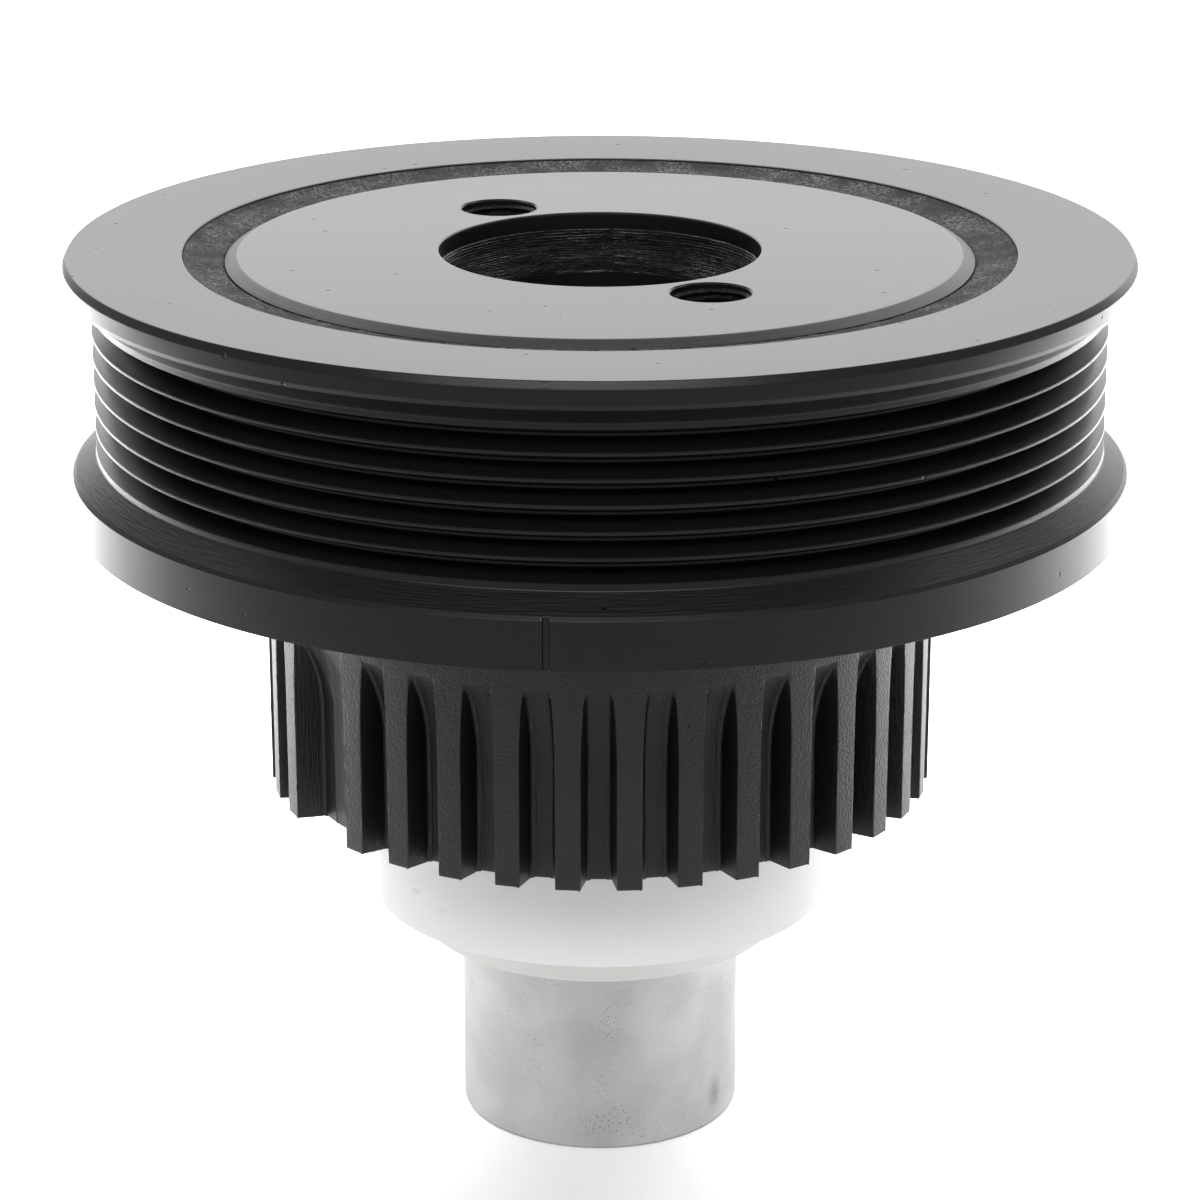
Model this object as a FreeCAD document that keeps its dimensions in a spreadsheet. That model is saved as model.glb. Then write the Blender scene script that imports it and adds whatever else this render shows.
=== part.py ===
"""Harmonic balancer: cast hub with a toothed trigger drum, rubber ring, belt pulley ring and dust collar.

Origin: centre of the seal journal's end face. +Z runs along the axis towards the front face, and the
timing mark is on -Y. Lengths are millimetres and angles are degrees, turned about +Z from -Y.
"""
import FreeCAD, Part
import os

import Sketcher

SIZES = {
    # Seal journal and the bore for the crankshaft's nose
    "journal_radius": 21.3,
    "journal_length": 30.7,
    "journal_edge": 0.4,
    "crank_bore_radius": 16.0,
    "crank_bore_lead": 1.0,
    "keyway_width": 6.0,
    "keyway_depth": 2.8,
    # Neck that carries the dust collar
    "neck_radius": 24.0,
    "neck_lead": 0.8,
    "boss_radius": 25.5,
    # Dust collar
    "collar_step_radius": 27.7,
    "collar_step_length": 5.7,
    "collar_radius": 35.2,
    "collar_exposed_length": 18.5,
    "collar_hidden_length": 4.0,
    "collar_wall": 2.6,
    # Toothed trigger drum
    "drum_radius": 50.1,
    "drum_length": 42.6,
    "drum_edge": 0.3,
    "tooth_positions": 36,
    "missing_tooth": -5,
    "slot_width": 5.1,
    "slot_depth": 4.3,
    "slot_straight_length": 17.1,
    "cutter_radius": 21.0,
    "cutter_overlap": 2.0,
    # Cast pocket behind the front web
    "pocket_radius": 38.0,
    "pocket_corner": 3.0,
    "web_thickness": 19.1,
    # Front disc, its rim and the recess for the crankshaft bolt
    "rim_radius": 54.9,
    "disc_setback": 0.9,
    "disc_edge_radial": 1.8,
    "disc_edge_length": 0.9,
    "recess_radius": 23.6,
    "recess_lip": 0.3,
    "recess_wall_depth": 4.0,
    "seat_radius": 20.5,
    "seat_top_depth": 8.2,
    "seat_depth": 10.6,
    # Puller holes
    "puller_holes": 2,
    "puller_circle_radius": 31.2,
    "puller_angle": 35.0,
    "puller_hole_radius": 5.15,
    "puller_hole_depth": 13.0,
    "puller_sink_radius": 6.0,
    "drill_point": 118.0,
    # Rubber ring
    "rubber_thickness": 6.0,
    "rubber_recess": 0.95,
    "rubber_hollow": 0.5,
    # Pulley ring
    "ring_width": 39.3,
    "front_flange_radius": 78.3,
    "front_edge_radial": 0.6,
    "front_edge_length": 1.1,
    "front_flange_length": 2.45,
    "back_flange_radius": 78.1,
    "flange_cone_length": 2.9,
    "belt_seat_radius": 74.5,
    "belt_land": 0.7,
    "belt_grooves": 6,
    "belt_pitch": 3.56,
    "belt_angle": 40.0,
    "belt_crest": 0.5,
    "belt_root": 0.5,
    # Timing mark on the back flange
    "mark_width": 1.7,
    "mark_depth": 0.4,
}

WHOLE_TURN = 360.0
QUARTER_TURN = 90.0

# How a sketch's constraints name its own origin and axes, and the two ends of an edge
ORIGIN, H_AXIS, V_AXIS = -1, -1, -2
START, END = 1, 2

# Normal of every sketch in its own plane
NORMAL = FreeCAD.Vector(0, 0, 1)

# Least volume that a cut takes away
LEAST_CUT = 1e-3


def size(name):
    """Expression that reads one value of the sheet."""
    return f"Sizes.{name}"


def total(*terms):
    """Expression that adds expressions up."""
    return "(" + " + ".join(terms) + ")"


def less(first, *others):
    """Expression that takes the other expressions from the first."""
    return "(" + " - ".join((first,) + others) + ")"


# Levels along the axis, counted up from the journal's end face
COLLAR_END = size("journal_length")
COLLAR_FLANGE = total(COLLAR_END, size("collar_step_length"))
DRUM_END = total(COLLAR_FLANGE, size("collar_exposed_length"))
COLLAR_TOP = total(DRUM_END, size("collar_hidden_length"))
SLOT_FULL_DEPTH_END = total(DRUM_END, size("slot_straight_length"))
RING_BACK = total(DRUM_END, size("drum_length"))
RING_FRONT = total(RING_BACK, size("ring_width"))
DISC_FACE = less(RING_FRONT, size("disc_setback"))
RIM_FRONT = less(DISC_FACE, size("disc_edge_length"))
POCKET_FLOOR = less(DISC_FACE, size("web_thickness"))
BOLT_SEAT = less(DISC_FACE, size("seat_depth"))

# Radii that follow from a neighbour
RING_BORE = total(size("rim_radius"), size("rubber_thickness"))
SLOT_FLOOR = less(size("drum_radius"), size("slot_depth"))


def make_sheet(doc):
    """Spreadsheet with every driving dimension under its own name."""
    sheet = doc.addObject("Spreadsheet::Sheet", "Sizes")
    for row, (name, value) in enumerate(SIZES.items(), start=1):
        sheet.set(f"A{row}", name)
        sheet.set(f"B{row}", str(value))
        sheet.setAlias(f"B{row}", name)
    doc.recompute()
    return sheet


def make_body(doc, label):
    """Empty body whose label names the piece."""
    body = doc.addObject("PartDesign::Body", label)
    body.Label = label
    return body


def origin_feature(body, role):
    """Plane or axis of the body's own origin."""
    return next(item for item in body.Origin.OriginFeatures if item.Role == role)


def new_sketch(body, name, plane, shift=None, turn=None):
    """Sketch on one of the body's origin planes.

    shift maps the plane's own axes x, y and z to expressions that move the sketch along them, and turn is
    an expression for its turn about the plane's normal.
    """
    sketch = body.newObject("Sketcher::SketchObject", name)
    sketch.AttachmentSupport = [(origin_feature(body, plane), "")]
    sketch.MapMode = "FlatFace"
    for axis, expression in (shift or {}).items():
        sketch.setExpression(f"AttachmentOffset.Base.{axis}", expression)
    if turn:
        # An angle of nothing keeps no axis, so the turn starts from an angle that has one
        about_normal = FreeCAD.Rotation(NORMAL, QUARTER_TURN)
        sketch.AttachmentOffset = FreeCAD.Placement(FreeCAD.Vector(), about_normal)
        sketch.setExpression("AttachmentOffset.Rotation.Angle", turn)
    sketch.Document.recompute()
    return sketch


def number(sketch, expression):
    """Present value of an expression."""
    value = sketch.evalExpression(expression)
    return float(getattr(value, "Value", value))


def pin_point(sketch, geometry, end, across, up):
    """Hold a point at the distances from the sketch's origin that two expressions give."""
    for kind, axis, expression in (("DistanceX", V_AXIS, across), ("DistanceY", H_AXIS, up)):
        if expression == "0":
            sketch.addConstraint(Sketcher.Constraint("PointOnObject", geometry, end, axis))
            continue
        index = sketch.addConstraint(
            Sketcher.Constraint(kind, ORIGIN, START, geometry, end, number(sketch, expression)))
        sketch.setExpression(f"Constraints[{index}]", expression)


def draw_outline(sketch, corners):
    """Closed outline of straight edges through corners that are each (across, up)."""
    places = [FreeCAD.Vector(number(sketch, across), number(sketch, up), 0) for across, up in corners]
    edges = []
    for index, place in enumerate(places):
        following = places[(index + 1) % len(places)]
        edges.append(sketch.addGeometry(Part.LineSegment(place, following), False))
    for index, (across, up) in enumerate(corners):
        incoming, outgoing = edges[index - 1], edges[index]
        sketch.addConstraint(Sketcher.Constraint("Coincident", incoming, END, outgoing, START))
        pin_point(sketch, outgoing, START, across, up)
    sketch.Document.recompute()


def revolve(body, name, sketch, kind="PartDesign::Revolution"):
    """Turn a sketch once about the balancer's axis, to add metal or, as a groove, to take it away."""
    feature = body.newObject(kind, name)
    feature.Profile = sketch
    feature.ReferenceAxis = (sketch, ["V_Axis"])
    feature.Angle = WHOLE_TURN
    sketch.Document.recompute()
    return feature


def check_cut(body, feature, volume_before):
    """Stop if a cut has taken nothing away."""
    body.Document.recompute()
    if feature.Shape.Volume > volume_before - LEAST_CUT:
        raise RuntimeError(f"{feature.Name} cuts nothing")


def cut_with_pocket(body, name, sketch, length, upwards):
    """Pocket of a stated length, along +Z when upwards is true."""
    volume_before = body.Shape.Volume
    feature = body.newObject("PartDesign::Pocket", name)
    feature.Profile = sketch
    feature.Reversed = upwards
    feature.setExpression("Length", length)
    check_cut(body, feature, volume_before)
    return feature


def pattern_round(body, name, originals, copies):
    """Repeat features evenly about the balancer's axis."""
    feature = body.newObject("PartDesign::PolarPattern", name)
    feature.Originals = originals
    feature.Axis = (origin_feature(body, "Z_Axis"), [""])
    feature.Angle = WHOLE_TURN
    feature.setExpression("Occurrences", copies)
    body.Tip = feature
    body.Document.recompute()
    return feature


def make_hub(doc):
    """Cast hub: front disc, recess, rim, toothed drum, pocket, neck and ground journal."""
    body = make_body(doc, "hub")
    section = new_sketch(body, "HubSection", "XZ_Plane")
    draw_outline(section, [
        # Journal, neck and the boss inside the pocket
        (total(size("crank_bore_radius"), size("crank_bore_lead")), "0"),
        (less(size("journal_radius"), size("journal_edge")), "0"),
        (size("journal_radius"), size("journal_edge")),
        (size("journal_radius"), COLLAR_END),
        (less(size("neck_radius"), size("neck_lead")), COLLAR_END),
        (size("neck_radius"), total(COLLAR_END, size("neck_lead"))),
        (size("neck_radius"), COLLAR_TOP),
        (size("boss_radius"), COLLAR_TOP),
        (size("boss_radius"), POCKET_FLOOR),
        # Pocket floor and its outer wall
        (less(size("pocket_radius"), size("pocket_corner")), POCKET_FLOOR),
        (size("pocket_radius"), less(POCKET_FLOOR, size("pocket_corner"))),
        (size("pocket_radius"), DRUM_END),
        # Toothed drum before its slots, and the rim
        (less(size("drum_radius"), size("drum_edge")), DRUM_END),
        (size("drum_radius"), total(DRUM_END, size("drum_edge"))),
        (size("drum_radius"), RING_BACK),
        (size("rim_radius"), RING_BACK),
        (size("rim_radius"), RIM_FRONT),
        (less(size("rim_radius"), size("disc_edge_radial")), DISC_FACE),
        # Recess for the bolt: bored lip, cast cone and faced washer seat
        (total(size("recess_radius"), size("recess_lip")), DISC_FACE),
        (size("recess_radius"), less(DISC_FACE, size("recess_lip"))),
        (size("recess_radius"), less(DISC_FACE, size("recess_wall_depth"))),
        (size("seat_radius"), less(DISC_FACE, size("seat_top_depth"))),
        (size("seat_radius"), BOLT_SEAT),
        # Bore for the crankshaft's nose
        (size("crank_bore_radius"), BOLT_SEAT),
        (size("crank_bore_radius"), size("crank_bore_lead")),
    ])
    revolve(body, "HubTurned", section)
    cut_trigger_slots(body)
    cut_puller_holes(body)
    cut_keyway(body)
    return body


def draw_slot(sketch):
    """Section of one slot on -Y, with the cutter's axis as a construction line across it."""
    open_side = total(size("drum_radius"), size("cutter_overlap"))
    half_width = f"{size('slot_width')} / 2"
    draw_outline(sketch, [
        (f"-{half_width}", f"-{SLOT_FLOOR}"),
        (half_width, f"-{SLOT_FLOOR}"),
        (half_width, f"-{open_side}"),
        (f"-{half_width}", f"-{open_side}"),
    ])
    spindle_place = f"-({SLOT_FLOOR} + {size('cutter_radius')})"
    height = number(sketch, spindle_place)
    half_spindle = number(sketch, half_width)
    spindle_ends = [FreeCAD.Vector(across, height, 0) for across in (-half_spindle, half_spindle)]
    spindle = sketch.addGeometry(Part.LineSegment(*spindle_ends), True)
    pin_point(sketch, spindle, START, f"-{half_width}", spindle_place)
    pin_point(sketch, spindle, END, half_width, spindle_place)
    sketch.Document.recompute()


def mill_slot(body, name, turn):
    """One pass of the disc cutter: a straight slot from the drum's end and the run-out beyond it."""
    sketch = new_sketch(body, f"{name}Section", "XY_Plane", shift={"z": SLOT_FULL_DEPTH_END}, turn=turn)
    draw_slot(sketch)
    past_the_end = total(size("slot_straight_length"), size("cutter_overlap"))
    straight = cut_with_pocket(body, f"{name}Straight", sketch, past_the_end, upwards=False)
    volume_before = body.Shape.Volume
    run_out = body.newObject("PartDesign::Groove", f"{name}RunOut")
    run_out.Profile = sketch
    run_out.ReferenceAxis = (sketch, ["Axis0"])
    run_out.Angle = QUARTER_TURN
    check_cut(body, run_out, volume_before)
    return [straight, run_out]


def cut_trigger_slots(body):
    """Slots between all the tooth positions, and one more pass that takes the missing tooth away."""
    tooth_step = f"{WHOLE_TURN} / {size('tooth_positions')}"
    first_slot = mill_slot(body, "Slot", f"{tooth_step} / 2")
    pattern_round(body, "Slots", first_slot, size("tooth_positions"))
    mill_slot(body, "Gap", f"{tooth_step} * {size('missing_tooth')}")


def cut_puller_holes(body):
    """Blind tapping-size holes with a countersink and a drill point, evenly round the disc."""
    along, angle = size("puller_circle_radius"), size("puller_angle")
    sketch = new_sketch(body, "PullerHoleSection", "XZ_Plane",
                        shift={"x": f"{along} * sin({angle})", "z": f"{along} * cos({angle})"})
    radius = size("puller_hole_radius")
    sink = size("puller_sink_radius")
    bottom = less(DISC_FACE, size("puller_hole_depth"))
    point_depth = f"{radius} / tan({size('drill_point')} / 2)"
    above = total(DISC_FACE, size("disc_setback"))
    draw_outline(sketch, [
        ("0", less(bottom, point_depth)),
        (radius, bottom),
        (radius, less(DISC_FACE, less(sink, radius))),
        (sink, DISC_FACE),
        (sink, above),
        ("0", above),
    ])
    volume_before = body.Shape.Volume
    hole = revolve(body, "PullerHole", sketch, "PartDesign::Groove")
    check_cut(body, hole, volume_before)
    pattern_round(body, "PullerHoles", [hole], size("puller_holes"))


def cut_keyway(body):
    """Keyway on -Y, through the whole length of the bore."""
    sketch = new_sketch(body, "KeywaySection", "XY_Plane")
    half_width = f"{size('keyway_width')} / 2"
    bottom = total(size("crank_bore_radius"), size("keyway_depth"))
    draw_outline(sketch, [
        (f"-({half_width})", f"-{bottom}"),
        (half_width, f"-{bottom}"),
        (half_width, "0"),
        (f"-({half_width})", "0"),
    ])
    return cut_with_pocket(body, "Keyway", sketch, BOLT_SEAT, upwards=True)


def make_rubber_ring(doc):
    """Rubber band between rim and pulley ring, set back from the ring's faces and hollowed at its ends."""
    body = make_body(doc, "rubber_ring")
    section = new_sketch(body, "RubberSection", "XZ_Plane")
    middle = total(size("rim_radius"), f"{size('rubber_thickness')} / 2")
    front = less(RING_FRONT, size("rubber_recess"))
    back = total(RING_BACK, size("rubber_recess"))
    draw_outline(section, [
        (size("rim_radius"), back),
        (middle, total(back, size("rubber_hollow"))),
        (RING_BORE, back),
        (RING_BORE, front),
        (middle, less(front, size("rubber_hollow"))),
        (size("rim_radius"), RIM_FRONT),
    ])
    revolve(body, "RubberTurned", section)
    return body


def make_pulley_ring(doc):
    """Inertia ring with a flange on each side of the belt grooves, and the timing mark."""
    body = make_body(doc, "pulley_ring")
    section = new_sketch(body, "RingSection", "XZ_Plane")
    front_land = less(RING_FRONT, size("front_edge_length"), size("front_flange_length"))
    belt_front = less(front_land, size("flange_cone_length"), size("belt_land"))
    belt_back = less(belt_front, f"{size('belt_pitch')} * {size('belt_grooves')}")
    back_cone = less(belt_back, size("belt_land"))
    back_land = less(back_cone, size("flange_cone_length"))
    draw_outline(section, [
        (RING_BORE, RING_BACK),
        (size("back_flange_radius"), RING_BACK),
        (size("back_flange_radius"), back_land),
        (size("belt_seat_radius"), back_cone),
        (size("belt_seat_radius"), total(belt_front, size("belt_land"))),
        (size("front_flange_radius"), front_land),
        (size("front_flange_radius"), less(RING_FRONT, size("front_edge_length"))),
        (less(size("front_flange_radius"), size("front_edge_radial")), RING_FRONT),
        (RING_BORE, RING_FRONT),
    ])
    revolve(body, "RingTurned", section)
    cut_belt_grooves(body, belt_front)
    cut_timing_mark(body, belt_back)
    return body


def cut_belt_grooves(body, belt_front):
    """V grooves for a ribbed belt, side by side at its pitch."""
    sketch = new_sketch(body, "BeltGrooveSection", "XZ_Plane")
    seat = size("belt_seat_radius")
    half_mouth = f"(({size('belt_pitch')} - {size('belt_crest')}) / 2)"
    centre = less(belt_front, f"{size('belt_pitch')} / 2")
    half_root = f"{size('belt_root')} / 2"
    root = less(seat, f"({half_mouth} - {half_root}) / tan({size('belt_angle')} / 2)")
    draw_outline(sketch, [
        (root, total(centre, half_root)),
        (root, less(centre, half_root)),
        (seat, less(centre, half_mouth)),
        (total(seat, size("belt_land")), less(centre, half_mouth)),
        (total(seat, size("belt_land")), total(centre, half_mouth)),
        (seat, total(centre, half_mouth)),
    ])
    volume_before = body.Shape.Volume
    groove = revolve(body, "BeltGroove", sketch, "PartDesign::Groove")
    check_cut(body, groove, volume_before)
    row = body.newObject("PartDesign::LinearPattern", "BeltGrooves")
    row.Originals = [groove]
    row.Direction = (origin_feature(body, "Z_Axis"), [""])
    row.Reversed = True
    row.setExpression("Length", f"{size('belt_pitch')} * ({size('belt_grooves')} - 1)")
    row.setExpression("Occurrences", size("belt_grooves"))
    body.Tip = row
    body.Document.recompute()


def cut_timing_mark(body, top):
    """V notch across the back flange on -Y, in line with a tooth."""
    sketch = new_sketch(body, "TimingMarkSection", "XY_Plane", shift={"z": RING_BACK})
    mouth = total(size("back_flange_radius"), size("mark_depth"))
    draw_outline(sketch, [
        ("0", f"-{less(size('back_flange_radius'), size('mark_depth'))}"),
        (size("mark_width"), f"-{mouth}"),
        (f"-{size('mark_width')}", f"-{mouth}"),
    ])
    return cut_with_pocket(body, "TimingMark", sketch, less(top, RING_BACK), upwards=True)


def make_dust_collar(doc):
    """Moulded collar in two steps: a sleeve on the neck and a skirt that reaches into the drum."""
    body = make_body(doc, "dust_collar")
    section = new_sketch(body, "CollarSection", "XZ_Plane")
    flange_top = total(COLLAR_FLANGE, size("collar_wall"))
    skirt_inside = less(size("collar_radius"), size("collar_wall"))
    draw_outline(section, [
        (size("neck_radius"), COLLAR_END),
        (size("collar_step_radius"), COLLAR_END),
        (size("collar_step_radius"), COLLAR_FLANGE),
        (size("collar_radius"), COLLAR_FLANGE),
        (size("collar_radius"), COLLAR_TOP),
        (skirt_inside, COLLAR_TOP),
        (skirt_inside, flange_top),
        (size("collar_step_radius"), flange_top),
        (size("collar_step_radius"), COLLAR_TOP),
        (size("neck_radius"), COLLAR_TOP),
    ])
    revolve(body, "CollarTurned", section)
    return body


def check_document(doc, bodies):
    """Stop if any object failed or any piece isn't one valid solid."""
    for item in doc.Objects:
        if {"Invalid", "Error"} & set(item.State):
            raise RuntimeError(f"{item.Label} failed: {item.State}")
    for body in bodies:
        shape = body.Shape
        if shape.isNull() or not shape.isValid() or len(shape.Solids) != 1:
            raise RuntimeError(f"{body.Label} isn't one valid solid")


def write_parts(bodies):
    """Write each piece under its own name."""
    os.makedirs("parts", exist_ok=True)
    for body in bodies:
        body.Shape.exportStep(os.path.join("parts", f"{body.Label}.step"))
        print(f"{body.Label}: {body.Shape.Volume / 1000:.1f} cm3, {len(body.Shape.Faces)} faces")


def main():
    """Build the balancer and write its pieces."""
    doc = FreeCAD.newDocument("HarmonicBalancer")
    make_sheet(doc)
    bodies = [make_hub(doc), make_rubber_ring(doc), make_pulley_ring(doc), make_dust_collar(doc)]
    doc.recompute()
    check_document(doc, bodies)
    write_parts(bodies)


main()
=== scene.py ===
"""Looks of a harmonic balancer: finishes, turned and milled surfaces, threads, studio and camera.

Lengths in the classes are millimetres. Angles are degrees, turned about +Z from -Y, as on the part itself.
Meshes are in metres.
"""
import logging
import math
from collections.abc import Callable
from dataclasses import dataclass
from enum import Enum

import bmesh
import bpy
from bmesh.types import BMEdge, BMesh, BMVert
from bpy.types import ID, Material, Node, NodeSocket, NodeTree, Object
from mathutils import Matrix, Vector, noise


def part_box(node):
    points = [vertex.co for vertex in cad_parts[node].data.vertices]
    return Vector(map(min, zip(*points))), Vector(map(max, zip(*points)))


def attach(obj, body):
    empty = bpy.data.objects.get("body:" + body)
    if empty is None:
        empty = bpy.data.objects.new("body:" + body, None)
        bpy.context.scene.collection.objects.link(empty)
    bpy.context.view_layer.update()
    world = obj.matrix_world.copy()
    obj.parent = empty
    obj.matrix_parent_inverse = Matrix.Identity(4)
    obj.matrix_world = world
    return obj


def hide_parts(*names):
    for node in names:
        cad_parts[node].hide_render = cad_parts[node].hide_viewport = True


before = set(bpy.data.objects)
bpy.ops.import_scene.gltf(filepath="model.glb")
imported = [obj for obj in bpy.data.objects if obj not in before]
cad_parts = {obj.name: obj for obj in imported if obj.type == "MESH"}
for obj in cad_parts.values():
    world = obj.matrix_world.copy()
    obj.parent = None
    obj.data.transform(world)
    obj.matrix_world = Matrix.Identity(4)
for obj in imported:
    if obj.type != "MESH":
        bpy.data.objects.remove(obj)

log = logging.getLogger("balancer")

MM = 0.001
WHOLE_TURN = 360.0
BODY = "root"

# Places nearer than this are one place, and corners sharper than this stay sharp
WELD = 0.004 * MM
SHARP_ANGLE = 32.0

# How near to a circle its points are looked for, in millimetres
RING_SLACK = 0.01

# What lies less than a margin from a wall or a level still counts as on it, and less than a hair is nothing
MARGIN = 0.1
HAIR = 0.001

# Straight steps in a rounded edge of an outline
ROUNDING_STEPS = 2

# A full circle is turned as one of these sectors and its copies, which is much faster
SECTORS = 12


class Slot(Enum):
    """Names of the material slots of the record."""

    COATED_IRON = "coated_iron"
    RUBBER = "rubber"
    WHITE_PLASTIC = "white_plastic"


def linear(colour: str) -> tuple[float, float, float, float]:
    """Turn an sRGB hex colour to linear light.

    Args:
        colour: Six hex digits after a hash.

    Returns:
        Red, green, blue and an alpha of one.
    """
    channels = [int(colour[place:place + 2], 16) / 255 for place in (1, 3, 5)]
    light = [c / 12.92 if c <= 0.04045 else ((c + 0.055) / 1.055) ** 2.4 for c in channels]
    return light[0], light[1], light[2], 1.0


def add_node(tree: NodeTree, kind: str, inputs: dict | None = None, **settings: str | bool) -> Node:
    """Add a shader node with its settings, values and links.

    Args:
        tree: Tree that gets the node.
        kind: Blender's name of the node type, after the word ShaderNode.
        inputs: Values, output sockets, or nodes for their first output, by the name or number of the input.
            None leaves an input as it is.
        settings: Attributes of the node.

    Returns:
        The new node.
    """
    node = tree.nodes.new(f"ShaderNode{kind}")
    for name, value in settings.items():
        setattr(node, name, value)
    for place, value in (inputs or {}).items():
        source = value.outputs[0] if isinstance(value, Node) else value
        if isinstance(source, NodeSocket):
            tree.links.new(source, node.inputs[place])
        elif source is not None:
            node.inputs[place].default_value = source
    return node


def per_metre(millimetres: float) -> float:
    """Scale of a pattern whose features are this far apart."""
    return 1 / (millimetres * MM)


def box_of(node: str) -> tuple[Vector, Vector]:
    """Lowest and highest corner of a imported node, in millimetres."""
    low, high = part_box(node)
    return Vector(low) / MM, Vector(high) / MM


def radius_of(place: Vector) -> float:
    """Distance of a place from the axis."""
    return math.hypot(place.x, place.y)


def turn_of(place: Vector) -> float:
    """Angle of a place about the axis."""
    return math.degrees(math.atan2(place.x, -place.y))


class ToolMark(Enum):
    """What the way a surface was made leaves on it."""

    TURNED = "rings about the axis"
    HATCHED = "short rough strokes round the axis"
    MILLED = "streaks along the axis"
    EVEN = "the same in every direction"


class Finish:
    """A material built from nodes on Object coordinates."""

    name: str

    def shade(self, tree: NodeTree, place: NodeSocket) -> dict:
        """Add the nodes that are the finish's own.

        Args:
            tree: Tree that gets the nodes.
            place: Object coordinates.

        Returns:
            Inputs of the shader.
        """
        raise NotImplementedError

    def build(self) -> Material:
        """Build the material.

        Returns:
            The material, with one shader.
        """
        material = bpy.data.materials.new(self.name)
        material.use_nodes = True
        tree = material.node_tree
        tree.nodes.clear()
        place = add_node(tree, "TexCoord").outputs["Object"]
        shader = add_node(tree, "BsdfPrincipled", self.shade(tree, place))
        add_node(tree, "OutputMaterial", {"Surface": shader})
        return material

    @staticmethod
    def lathe_vector(tree: NodeTree, place: NodeSocket, stroke: float) -> NodeSocket:
        """Coordinates as a turning tool sees them: radius, way round and height.

        Args:
            tree: Tree that gets the nodes.
            place: Object coordinates.
            stroke: How much the way round counts. Nothing gives whole rings, more gives shorter strokes.

        Returns:
            The vector.
        """
        # The way round starts at the front, so its ends meet at the back
        flat = add_node(tree, "VectorMath", {0: place, 1: (1, -1, 0)}, operation="MULTIPLY")
        radius = add_node(tree, "VectorMath", {0: flat}, operation="LENGTH").outputs["Value"]
        across = add_node(tree, "SeparateXYZ", {0: flat}).outputs
        turn = add_node(tree, "Math", {0: across[0], 1: across[1]}, operation="ARCTAN2")
        way = add_node(tree, "Math", {0: turn, 1: stroke}, operation="MULTIPLY")
        height = add_node(tree, "SeparateXYZ", {0: place}).outputs[2]
        return add_node(tree, "CombineXYZ", {0: radius, 1: way, 2: height}).outputs[0]


@dataclass(frozen=True)
class CoatedIron(Finish):
    """Grey iron under a thin satin black coat, which shows whatever the tool or the mould left below it."""

    name: str
    mark: ToolMark
    mark_size: float
    mark_depth: float
    roughness: float
    grain_size: float = 0.45
    grain_depth: float = 0.004
    speck_spacing: float = 7.0
    speck_size: float = 0.4
    speck_depth: float = 0.3
    specular: float = 0.32
    colour: str = "#101011"
    stroke: float = 0.006
    streak: float = 0.06

    def mark_vector(self, tree: NodeTree, place: NodeSocket) -> NodeSocket:
        """Coordinates along which the tool's marks change.

        Args:
            tree: Tree that gets the nodes.
            place: Object coordinates.

        Returns:
            The vector.
        """
        if self.mark is ToolMark.EVEN:
            return place
        if self.mark is ToolMark.MILLED:
            return add_node(tree, "Mapping", {"Vector": place, "Scale": (1, 1, self.streak)}).outputs[0]
        return self.lathe_vector(tree, place, self.stroke if self.mark is ToolMark.HATCHED else 0.0)

    def shade(self, tree: NodeTree, place: NodeSocket) -> dict:
        """Give a black that stays satin face on and turns pale at a glancing angle.

        Args:
            tree: Tree that gets the nodes.
            place: Object coordinates.

        Returns:
            Inputs of the shader.
        """
        marks = add_node(tree, "TexNoise", {
            "Vector": self.mark_vector(tree, place), "Scale": per_metre(self.mark_size), "Detail": 3.0})
        # The sprayed coat dries with a fine grain of its own
        grain = add_node(tree, "TexNoise", {
            "Vector": place, "Scale": per_metre(self.grain_size), "Detail": 2.0})
        # Dust under the coat and pores in the iron show as single specks
        specks = add_node(tree, "TexVoronoi", {"Vector": place, "Scale": per_metre(self.speck_spacing)})
        share = self.speck_size / self.speck_spacing
        pit = add_node(tree, "MapRange", {
            "Value": specks.outputs["Distance"], "From Min": share / 2, "From Max": share})
        relief = None
        for height, depth in ((marks, self.mark_depth), (grain, self.grain_depth), (pit, self.speck_depth)):
            relief = add_node(tree, "Bump", {"Height": height, "Distance": depth * MM, "Normal": relief})
        return {"Base Color": linear(self.colour), "Roughness": self.roughness, "IOR": 1.45,
                "Specular IOR Level": self.specular, "Normal": relief}


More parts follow.
